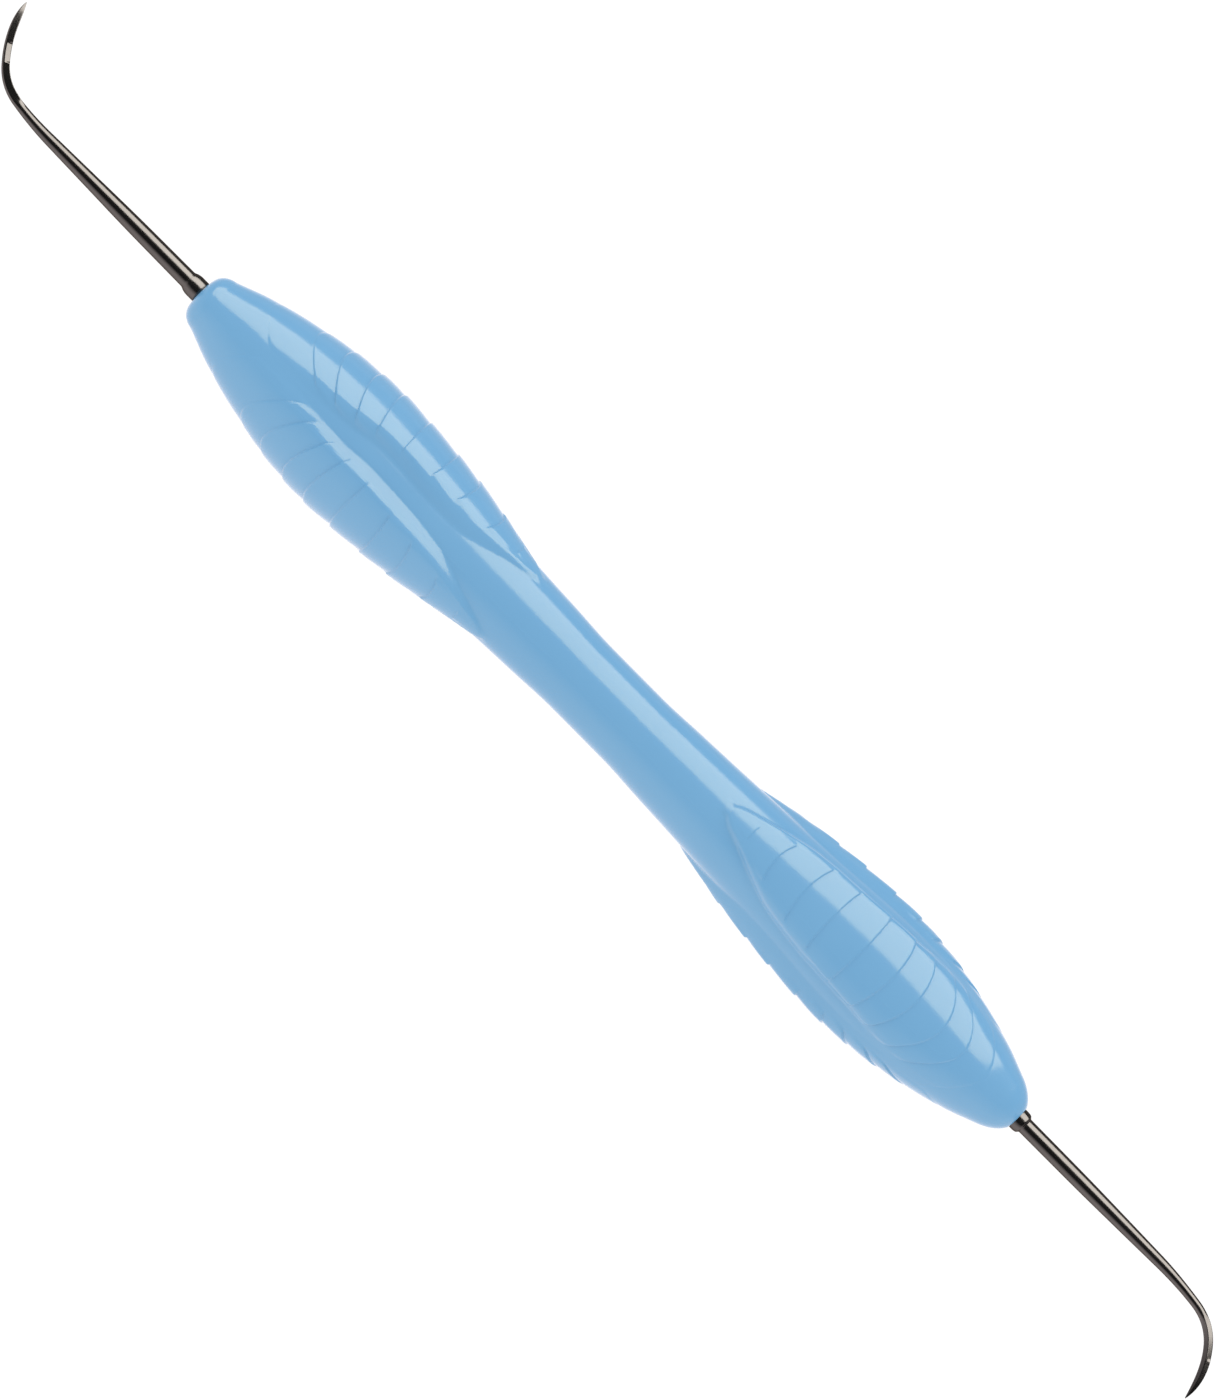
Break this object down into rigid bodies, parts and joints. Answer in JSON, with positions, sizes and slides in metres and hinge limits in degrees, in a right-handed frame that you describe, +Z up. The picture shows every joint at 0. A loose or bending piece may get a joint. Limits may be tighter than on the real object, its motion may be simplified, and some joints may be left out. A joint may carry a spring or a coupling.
{
  "type": "dental hand scaler",
  "caption": "Double-ended dental hand scaler: a soft silicone grip with a slim neck and leaf-shaped ribbed pads, and a sickle hook on a tapered steel shank at each end.",
  "frame": {"origin": "middle of the handle, on its long axis", "axes": "+X along the handle, +Y across it in the plane of the two hooks, +Z up when it lies on its grip pads"},
  "size_m": [0.1624, 0.0144, 0.013],
  "materials": {
    "silicone": "smooth satin, light blue",
    "core_plastic": "moulded, matte",
    "socket_steel": "turned",
    "tip_steel": "dark hard coating over ground steel, polished"
  },
  "bodies": {
    "root": {"grip_sleeve": "silicone", "handle_core": "core_plastic", "tip_socket_left": "socket_steel", "tip_socket_right": "socket_steel", "scaler_tip_left": "tip_steel", "scaler_tip_right": "tip_steel"}
  },
  "joints": []
}
